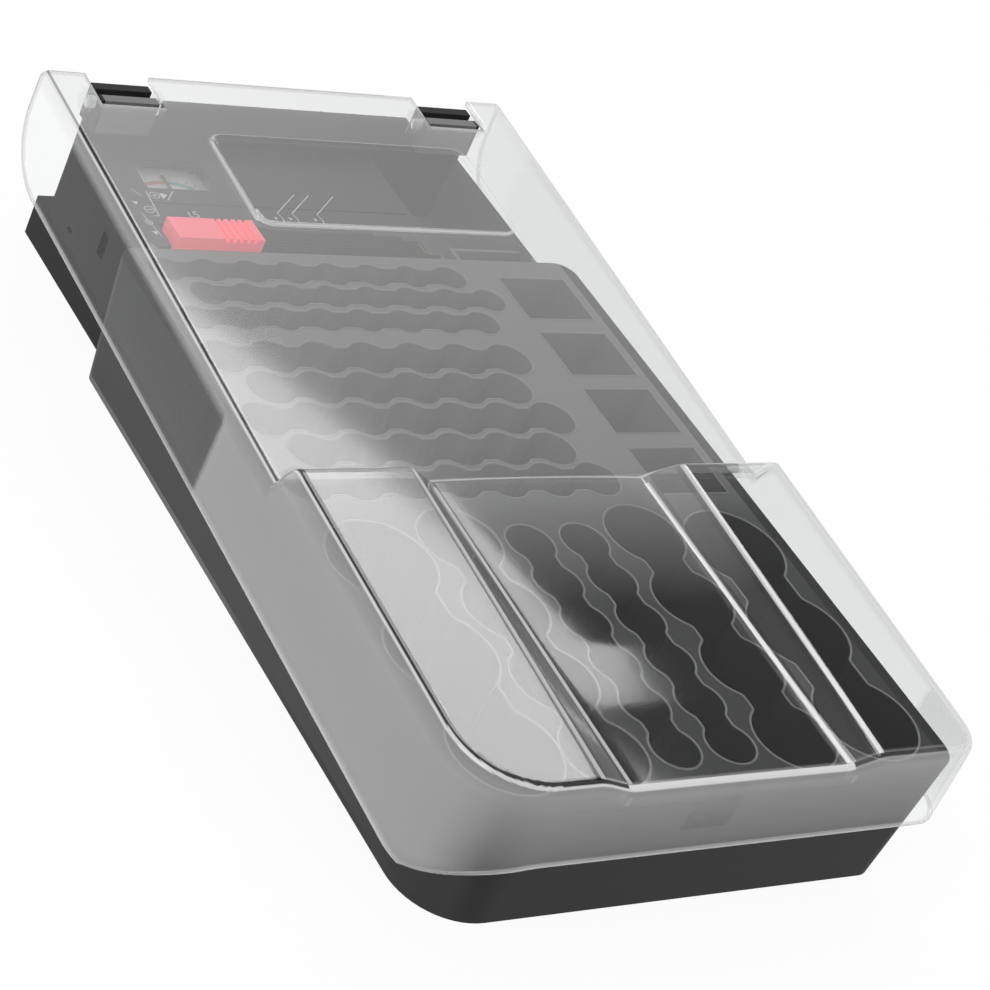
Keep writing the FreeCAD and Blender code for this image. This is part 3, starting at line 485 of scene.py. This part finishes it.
def lid_columns(rows):
    """Grid x of every row: even bands inside the outline, straight columns along the strips between."""
    rim_marks = np.array(RIM_STEPS + (3.6, 4.6))
    band = 6.0
    inner_edge = TOP_HALF - band
    stops = [(-inner_edge, 0), (-75.8, 1.6), (-HELD_HALF, 1.7), (-48.0, 0.35), (-42.5, 0.45),
             (-38.5, 0.4), (38.5, 1.9), (42.5, 0.4), (48.0, 0.45), (HELD_HALF, 0.35), (56.8, 1.2),
             (61.2, 0.45), (75.8, 1.6), (inner_edge, 1.6)]
    middle = marks(stops)
    grid_x = []
    for y in rows:
        fall_left = max(0.0, TURN_LEFT - (y - TOP_FRONT))
        fall_right = max(0.0, TURN_RIGHT - (y - TOP_FRONT))
        left = -TOP_HALF + TURN_LEFT - math.sqrt(max(TURN_LEFT ** 2 - fall_left ** 2, 0.0))
        right = TOP_HALF - TURN_RIGHT + math.sqrt(max(TURN_RIGHT ** 2 - fall_right ** 2, 0.0))
        near_left = -HELD_HALF + (middle + HELD_HALF) * (-HELD_HALF - left - band) / (inner_edge - HELD_HALF)
        near_right = HELD_HALF + (middle - HELD_HALF) * (right - band - HELD_HALF) / (inner_edge - HELD_HALF)
        inner = np.where(middle < -HELD_HALF, near_left, np.where(middle > HELD_HALF, near_right, middle))
        grid_x.append(np.concatenate([left + rim_marks, inner, right - rim_marks[::-1]]))
    return np.array(grid_x)


def top_faces(grid_x, rows):
    """Faces of the lid's top, left open where the hinge bars lie."""
    ny, nx = grid_x.shape
    faces = []
    for j in range(ny - 1):
        for i in range(nx - 1):
            cx = abs(grid_x[j, i] + grid_x[j, i + 1]) / 2
            cy = (rows[j] + rows[j + 1]) / 2
            if GAP_X[0] < cx < GAP_X[1] and cy > GAP_Y:
                continue
            k = j * nx + i
            faces.append((k, k + 1, k + nx + 1, k + nx))
    return faces


def lid_walls(points, path):
    """Rings of wall points below the top's edge and the faces between them, leaning out with the draft."""
    edge = points[path]
    ahead = np.roll(edge, -1, axis=0) - np.roll(edge, 1, axis=0)
    ahead[0] = edge[1] - edge[0]
    ahead[-1] = edge[-1] - edge[-2]
    normal = np.stack([ahead[:, 1], -ahead[:, 0]], axis=-1)
    normal /= np.linalg.norm(normal, axis=1)[:, None]
    normal[0] = (-1.0, 0.0)
    normal[-1] = (1.0, 0.0)
    base = lid_rim(edge[:, 0] + normal[:, 0] * 0.9, edge[:, 1])
    rings = [path]
    extra = []
    for level in range(1, WALL_LEVELS + 1):
        t = level / WALL_LEVELS
        z = edge[:, 2] + (base - edge[:, 2]) * t
        out = np.maximum(TOP_INSET - LID_LEAN * z, 0.0)
        ring = np.column_stack([edge[:, 0] + normal[:, 0] * out, edge[:, 1] + normal[:, 1] * out, z])
        rings.append(list(range(len(points) + len(extra), len(points) + len(extra) + len(path))))
        extra += list(ring)
    faces = []
    for a, b in zip(rings, rings[1:]):
        for i in range(len(path) - 1):
            faces.append((a[i], b[i], b[i + 1], a[i + 1]))
    return np.array(extra), faces


def clear_lid():
    """Clear lid skin: top height field z(x, y) inside the plan outline, rolled over into drafted walls."""
    rows = lid_rows()
    grid_x = lid_columns(rows)
    ny, nx = grid_x.shape
    grid_y = np.repeat(rows[:, None], nx, axis=1)
    points = np.stack([grid_x, grid_y, lid_top(grid_x, grid_y)], axis=-1).reshape(-1, 3)
    path = [j * nx for j in range(ny - 1, -1, -1)]
    path += list(range(1, nx - 1)) + [j * nx + nx - 1 for j in range(ny)]
    walls, wall_faces = lid_walls(points, path)
    faces = top_faces(grid_x, rows) + wall_faces
    points = np.vstack([points, walls]) * MM
    lid = grid_piece("clear_lid_skin", points, faces, MATERIALS["lid_clear"], None)
    lid.data.materials.append(MATERIALS["lid_inner"])
    lid.data.materials.append(MATERIALS["lid_rim"])
    x, y, z = (points / MM).T
    on_top = np.arange(len(points)) < ny * nx
    # The lid's veil attribute holds real milkiness plus painted highlight lines and painted reflection; shade
    # holds painted dark refraction lines.
    looks = {"milk_and_highlights": lid_milk_and_highlights(x, y, z, on_top), "shade": lid_shade(x, y, on_top),
             "polish": np.where(on_top, 1.0, WALL_POLISH)}
    for label, values in looks.items():
        attribute = lid.data.attributes.new(label, "FLOAT", "POINT")
        attribute.data.foreach_set("value", values.astype(np.float32))
    shell = lid.modifiers.new("wall", "SOLIDIFY")
    shell.material_offset = 1
    shell.material_offset_rim = 2
    shell.thickness = LID_SKIN * MM
    shell.offset = -1.0
    shell.use_even_offset = True
    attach(lid, "lid")
    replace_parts(lid, "clear_lid")


clear_lid()


def carried(path, profile):
    """Profile (a, b) carried along a path across the case: point = path + (0, a, b), both ends closed."""
    path = np.asarray(path, float)
    profile = np.asarray(profile, float)
    n, m = len(path), len(profile)
    offsets = np.column_stack([np.zeros(m), profile])
    points = (path[:, None, :] + offsets[None, :, :]).reshape(-1, 3)
    faces = []
    for i in range(n - 1):
        for j in range(m):
            k = (j + 1) % m
            faces.append((i * m + j, i * m + k, (i + 1) * m + k, (i + 1) * m + j))
    faces.append(tuple(range(m - 1, -1, -1)))
    faces.append(tuple((n - 1) * m + j for j in range(m)))
    return points, faces


def circle(radius, count=20):
    """Points of a circle in the profile plane."""
    t = np.linspace(0, 2 * math.pi, count, endpoint=False)
    return np.stack([radius * np.cos(t), radius * np.sin(t)], axis=1)


def gathered(name, parts, mat, body, smooth=True):
    """One piece from several (points, faces) sets in millimetres."""
    points, faces, start = [], [], 0
    for p, f in parts:
        points.append(np.asarray(p))
        faces += [tuple(start + k for k in face) for face in f]
        start += len(p)
    return grid_piece(name, np.vstack(points) * MM, faces, mat, body, smooth)


# Hinge bars, their end blocks and the rests in millimetres
BAR_RADIUS = 2.0
BAR_SINK = 1.0
BLOCK_THICK = 2.6
BLOCK_OUTLINE = [(-3.2, 3.4), (-3.2, -1.6), (-1.6, -3.2), (1.6, -3.2), (3.2, -1.6), (3.2, 3.6)]
REST_X = 41.0
REST_Y = -157.3
REST_Z = 51.2
REST_OUTLINE = [(-3.4, -2.2), (-0.4, -2.2), (-0.8, 1.2), (-3.4, 1.2)]


def lid_fittings():
    """Hinge bars across the lid's rear gaps, blocks at their ends and two rests behind the front wall."""
    bars = []
    blocks = []
    for side in (-1, 1):
        ends = sorted((side * (GAP_X[0] - BAR_SINK), side * (GAP_X[1] + BAR_SINK)))
        path = [(x, HINGE_Y, HINGE_Z) for x in np.linspace(ends[0], ends[1], 3)]
        bars.append(carried(path, circle(BAR_RADIUS)))
        for x0, x1 in ((GAP_X[0] - BLOCK_THICK, GAP_X[0]), (GAP_X[1], GAP_X[1] + BLOCK_THICK)):
            path = [(x, HINGE_Y, HINGE_Z) for x in sorted((side * x0, side * x1))]
            blocks.append(carried(path, BLOCK_OUTLINE))
        path = [(side * REST_X + half, REST_Y, REST_Z) for half in (-0.8, 0.8)]
        blocks.append(carried(path, REST_OUTLINE))
    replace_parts(gathered("lid_hinge_bars", bars, MATERIALS["lid_bars"], "lid"), "clear_lid")
    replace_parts(gathered("lid_bosses", blocks, MATERIALS["lid_bosses"], "lid", False), "clear_lid")


lid_fittings()


def chain_outline(count, pitch, radius, neck, cusp):
    """Outline of joined round cells along +X: cell arcs meet cusp arcs, one side then its mirror."""
    half = neck / 2
    reach = radius + cusp
    along = math.sqrt(max(reach ** 2 - (half + cusp) ** 2, 0.0))
    lean = math.atan2(half + cusp, along)
    top = []
    for i in range(count):
        first = math.pi if i == 0 else math.pi - lean
        last = 0.0 if i == count - 1 else lean
        t = np.linspace(first, last, 26 if i in (0, count - 1) else 16)
        top.append(np.stack([i * pitch + radius * np.cos(t), radius * np.sin(t)], axis=1))
        if i < count - 1:
            t = np.linspace(math.pi + lean, 1.5 * math.pi, 6)[1:]
            bend = np.stack([cusp * np.cos(t), half + cusp + cusp * np.sin(t)], axis=1)
            top.append(bend + [i * pitch + along, 0])
            top.append(bend[::-1] * [-1, 1] + [(i + 1) * pitch - along, 0])
    top = np.vstack(top)
    return np.vstack([top, top[::-1][1:-1] * [1, -1]])


def edge_bead(outline, level, bead):
    """Half round bead along a closed outline: point = outline + outward * a + up * b over half a circle."""
    ahead = np.roll(outline, -1, axis=0) - np.roll(outline, 1, axis=0)
    length = np.linalg.norm(ahead, axis=1)[:, None]
    outward = np.stack([-ahead[:, 1], ahead[:, 0]], axis=1) / np.maximum(length, 1e-9)
    t = np.linspace(0, math.pi, 7)
    flat = outline[:, None, :] + outward[:, None, :] * (bead * 0.55 + bead * np.cos(t))[None, :, None]
    rise = np.broadcast_to(level + bead * 0.75 * np.sin(t), flat.shape[:2])
    points = np.concatenate([flat, rise[:, :, None]], axis=2).reshape(-1, 3)
    n, m = len(outline), len(t)
    faces = []
    for i in range(n):
        here, there = i * m, ((i + 1) % n) * m
        faces += [(here + j, there + j, there + j + 1, here + j + 1) for j in range(m - 1)]
    return points, faces


# Wells in millimetres: a kind is (pitch, radius, neck)
# Rows are (count, kind, last x, y) and columns (count, kind, x, rear y)
TRAY_TOP = 47.5
LIP = 0.4
CUSP = 2.6
AAA_WELL = (15.4, 5.9, 7.8)
AA_WELL = (17.8, 7.9, 9.8)
WELL_ROWS = [(8, AAA_WELL, 32.7, 77.4), (8, AAA_WELL, 42.0, 65.4), (8, AAA_WELL, 32.7, 53.1),
             (7, AA_WELL, 32.1, 33.9), (6, AA_WELL, 23.7, 19.1), (7, AA_WELL, 32.1, 4.2),
             (6, AA_WELL, 23.7, -10.6), (7, AA_WELL, 32.1, -25.4)]
WELL_COLUMNS = [(6, (17.26, 8.1, 10.6), 10.15, -53.7), (4, (29.3, 13.6, 14.6), 34.7, -51.5),
                (3, (38.0, 17.3, 21.5), 66.0, -59.0)]
BLOCK_X = (53.5, 80.0)
BLOCK_REARS = (78.0, 48.2, 18.6, -11.2)
BLOCK_DEPTH = 21.55
BLOCK_CORNER = 0.3


def well_edges():
    """Rounded lips along the mouths of the wells, in a lighter grey that paints their highlight."""
    beads = []
    for count, (pitch, radius, neck), last, y in WELL_ROWS:
        outline = chain_outline(count, pitch, radius, neck, CUSP) + [last - (count - 1) * pitch, y]
        beads.append(edge_bead(outline, TRAY_TOP, LIP))
    for count, (pitch, radius, neck), x, y in WELL_COLUMNS:
        outline = chain_outline(count, pitch, radius, neck, CUSP)
        for side in (-1, 1):
            turned = np.stack([side * x + outline[:, 1], y - outline[:, 0]], axis=1)
            beads.append(edge_bead(turned, TRAY_TOP, LIP))
    t = np.linspace(0, math.pi / 2, 5)
    corner = np.stack([np.cos(t), np.sin(t)], axis=1) * BLOCK_CORNER
    for rear in BLOCK_REARS:
        x0, x1 = BLOCK_X
        fore = rear - BLOCK_DEPTH
        outline = np.vstack([corner + [x1, rear], corner[::-1] * [-1, 1] + [x0, rear],
                             corner * [-1, -1] + [x0, fore], corner[::-1] * [1, -1] + [x1, fore]])
        beads.append(edge_bead(outline[::-1], TRAY_TOP, LIP))
    gathered("well_edges", beads, MATERIALS["well_edge"], "base")


well_edges()


def ribbon(points, width, level):
    """Flat line of even width along a polyline: each point moved half the width to both sides."""
    points = np.asarray(points, float)
    ahead = np.gradient(points, axis=0)
    ahead /= np.linalg.norm(ahead, axis=1)[:, None]
    side = np.stack([-ahead[:, 1], ahead[:, 0]], axis=1) * width / 2
    left = np.column_stack([points + side, np.full(len(points), level)])
    right = np.column_stack([points - side, np.full(len(points), level)])
    n = len(points)
    faces = [(i + 1, i, n + i, n + i + 1) for i in range(n - 1)]
    return np.vstack([left, right]), faces


def ring(x, y, radius):
    """Circle as a closed polyline."""
    t = np.linspace(0, 2 * math.pi, 25)
    return np.stack([x + radius * np.cos(t), y + radius * np.sin(t)], axis=1)


def patch(points, level):
    """Flat filled polygon."""
    points = np.asarray(points, float)
    return np.column_stack([points, np.full(len(points), level)]), [tuple(range(len(points)))]


# Signs just above the tester's face in millimetres
# Rings are (x, y, radius, width) and lines (width, points)
INK = 47.54
SIGN_RINGS = [(-61.6, 117.2, 1.7, 0.3), (-67.0, 109.2, 1.7, 0.3), (-70.3, 102.2, 1.2, 0.28)]
SIGN_LINES = [
    (0.35, [(-62.6, 117.2), (-60.6, 117.2)]),
    (0.35, [(-61.6, 116.2), (-61.6, 118.2)]),
    (0.35, [(-57.8, 114.7), (-53.6, 120.0)]),
    (0.35, [(-68.0, 109.2), (-66.0, 109.2)]),
    (0.4, [(-63.9, 119.4), (-64.1, 116.6), (-64.9, 105.9)]),
    (0.3, [(-68.9, 120.0), (-66.6, 116.4)]),
    (0.3, [(-66.9, 106.0), (-64.8, 105.8)]),
    (0.3, [(-71.0, 102.2), (-69.6, 102.2)]),
    (0.3, [(-70.3, 101.5), (-70.3, 102.9)]),
    (0.25, [(-70.9, 107.1), (-68.9, 95.0)]),
    (0.4, [(-53.2, 106.0), (-53.2, 108.8)]),
    (0.4, [(-52.3, 106.0), (-52.3, 106.4)]),
    (0.36, [(-49.9, 108.8), (-51.3, 108.8), (-51.4, 107.6), (-50.2, 107.5), (-49.9, 106.8), (-50.3, 106.1),
            (-51.4, 106.1)]),
]
SIGN_ARROWS = [
    [(-59.4, 118.8), (-59.2, 115.2), (-56.8, 117.6)],
    [(-71.6, 113.3), (-69.6, 113.3), (-70.5, 111.4)],
    [(-71.4, 97.3), (-69.4, 97.3), (-70.3, 95.2)],
]
LEADERS = (-18.6, -13.0, -3.2)
PIVOT = (-49.0, 115.2)
DIAL_LEVEL = 41.43
DIAL_ARCS = [("dial_red_arc", 34.0, 4.0, "dial_red"), ("dial_yellow_arc", 4.0, -5.0, "dial_yellow"),
             ("dial_green_arc", -5.0, -34.0, "dial_green")]
ARC_RADIUS = 18.3
ARC_WIDTH = 1.9


def tester_marks():
    """White signs on the tester's face: ringed plus and minus signs, arrows, the figure 1.5, leader lines."""
    lines = []
    for x, y, radius, width in SIGN_RINGS:
        lines.append(ribbon(ring(x, y, radius), width, INK))
    for width, points in SIGN_LINES:
        lines.append(ribbon(points, width, INK))
    for points in SIGN_ARROWS:
        lines.append(patch(points, INK))
    for x in LEADERS:
        lines.append(ribbon([(x, 104.4), (x + 0.8, 107.2), (x, 110.4), (x + 11.9, 121.4)], 0.35, INK))
        lines.append(patch([(x - 2.6, 108.2), (x - 1.2, 107.6), (x - 2.2, 106.4)], INK))
    gathered("tester_marks", lines, MATERIALS["mark_white"], "base", False)


def dial_marks():
    """Coloured arcs and ticks on the meter's dial, round the needle's pivot."""
    for name, start, end, mat in DIAL_ARCS:
        t = np.radians(90 + np.linspace(start, end, 16))
        arc = np.stack([PIVOT[0] + ARC_RADIUS * np.cos(t), PIVOT[1] + ARC_RADIUS * np.sin(t)], axis=1)
        gathered(name, [ribbon(arc, ARC_WIDTH, DIAL_LEVEL)], MATERIALS[mat], "base", False)
    ticks = []
    for angle in np.linspace(-34, 34, 9):
        t = math.radians(90 + angle)
        tick = [(PIVOT[0] + r * math.cos(t), PIVOT[1] + r * math.sin(t)) for r in (19.8, 21.2)]
        ticks.append(ribbon(tick, 0.25, DIAL_LEVEL))
    gathered("dial_ticks", ticks, MATERIALS["needle_black"], "base", False)


tester_marks()
dial_marks()


# Studio: floor and lamp spans in metres
# Lamps are (name, place in millimetres, side axis, other axis, span, watts)
FLOOR_HALF = 6.0
FLOOR_GLOW = 0.94
SURROUND = 0.62
DARK_PATCH = 0.16
DARK_WAY = (0.69, 0.49, 0.53)
LAMPS = (
    ("softbox", (886.8, 1091.6, 1721.6), (-0.6463, 0.7534, -0.1215), (-0.6362, -0.4437, 0.6311), 0.9, 10.6),
    ("key", (-1300.0, -400.0, 1900.0), None, None, 1.2, 11.0),
)


def white_floor():
    """Pale floor that camera and mirror rays see as an even white."""
    a = FLOOR_HALF
    mesh = bpy.data.meshes.new("floor")
    mesh.from_pydata([(-a, -a, 0), (a, -a, 0), (a, a, 0), (-a, a, 0)], [], [(0, 1, 2, 3)])
    floor = bpy.data.objects.new("floor", mesh)
    bpy.context.scene.collection.objects.link(floor)
    mat, tree, shader, out = node_tree("floor_white")
    shader.inputs["Base Color"].default_value = (0.94, 0.94, 0.94, 1.0)
    shader.inputs["Roughness"].default_value = 0.9
    shader.inputs["Specular IOR Level"].default_value = 0.1
    glow = tree.nodes.new("ShaderNodeEmission")
    glow.inputs["Color"].default_value = (1.0, 1.0, 1.0, 1.0)
    seen = tree.nodes.new("ShaderNodeLightPath")
    mirrored = math_node(tree, "MAXIMUM", seen.outputs["Is Camera Ray"], seen.outputs["Is Glossy Ray"])
    any_ray = math_node(tree, "MAXIMUM", mirrored, seen.outputs["Is Transmission Ray"])
    blend = tree.nodes.new("ShaderNodeMixShader")
    tree.links.new(math_node(tree, "MULTIPLY", any_ray, FLOOR_GLOW), blend.inputs["Fac"])
    tree.links.new(shader.outputs["BSDF"], blend.inputs[1])
    tree.links.new(glow.outputs["Emission"], blend.inputs[2])
    tree.links.new(blend.outputs["Shader"], out.inputs["Surface"])
    floor.data.materials.append(mat)


def surroundings():
    """Even surroundings with one darker patch for the mirror of the lid's low middle."""
    world = bpy.data.worlds.new("studio")
    bpy.context.scene.world = world
    world.use_nodes = True
    tree = world.node_tree
    back = tree.nodes["Background"]
    ray = tree.nodes.new("ShaderNodeLightPath")
    way = tree.nodes.new("ShaderNodeTexCoord")
    dim = tree.nodes.new("ShaderNodeVectorMath")
    dim.operation = "DOT_PRODUCT"
    dim.inputs[1].default_value = DARK_WAY
    shade = tree.nodes.new("ShaderNodeMapRange")
    shade.interpolation_type = "SMOOTHSTEP"
    shade.inputs["From Min"].default_value = 0.955
    shade.inputs["From Max"].default_value = 0.995
    shade.inputs["To Min"].default_value = SURROUND
    shade.inputs["To Max"].default_value = DARK_PATCH
    tree.links.new(way.outputs["Generated"], dim.inputs[0])
    tree.links.new(dim.outputs["Value"], shade.inputs["Value"])
    pick = tree.nodes.new("ShaderNodeMix")
    pick.data_type = "FLOAT"
    pick.inputs[3].default_value = 1.0
    tree.links.new(ray.outputs["Is Camera Ray"], pick.inputs[0])
    tree.links.new(shade.outputs["Result"], pick.inputs[2])
    tree.links.new(pick.outputs[0], back.inputs["Strength"])
    back.inputs["Color"].default_value = (1.0, 1.0, 1.0, 1.0)


def soft_lamps():
    """Square softbox mirrored in the lid, and a key lamp that faces the case."""
    for name, place, across, along, span, power in LAMPS:
        light = bpy.data.lights.new(name, "AREA")
        light.shape = "RECTANGLE"
        light.size = span
        light.size_y = span
        light.energy = power
        lamp = bpy.data.objects.new(name, light)
        place = Vector(place) * MM
        if across:
            across, along = Vector(across).normalized(), Vector(along).normalized()
            turn = Matrix((across, along, across.cross(along))).transposed().to_4x4()
        else:
            turn = (Vector((0, 0, 0.03)) - place).to_track_quat("-Z", "Y").to_matrix().to_4x4()
        lamp.matrix_world = Matrix.Translation(place) @ turn
        bpy.context.scene.collection.objects.link(lamp)


def photo_camera():
    """Camera at the photo's angle: focal length in pixels, place and axes in the part's frame."""
    focal = 2951.53
    frame_pixels = 990.0
    sensor = 36.0
    place = Vector((-534.6, -568.4, 520.1)) * MM
    right = Vector((0.80651347, -0.45768642, 0.37423451))
    down = Vector((-0.01747169, -0.65116137, -0.75873796))
    ahead = Vector((0.59095579, 0.60539328, -0.53317315))
    lens = bpy.data.cameras.new("photo_camera")
    lens.sensor_width = sensor
    lens.lens = focal / frame_pixels * sensor
    lens.clip_end = 20.0
    camera = bpy.data.objects.new("photo_camera", lens)
    turn = Matrix((right, -down, -ahead)).transposed()
    camera.matrix_world = Matrix.Translation(place) @ turn.to_4x4()
    bpy.context.scene.collection.objects.link(camera)
    bpy.context.scene.camera = camera


white_floor()
surroundings()
soft_lamps()
photo_camera()
bpy.context.scene.view_settings.view_transform = "Standard"
bpy.context.scene.cycles.transparent_max_bounces = 24
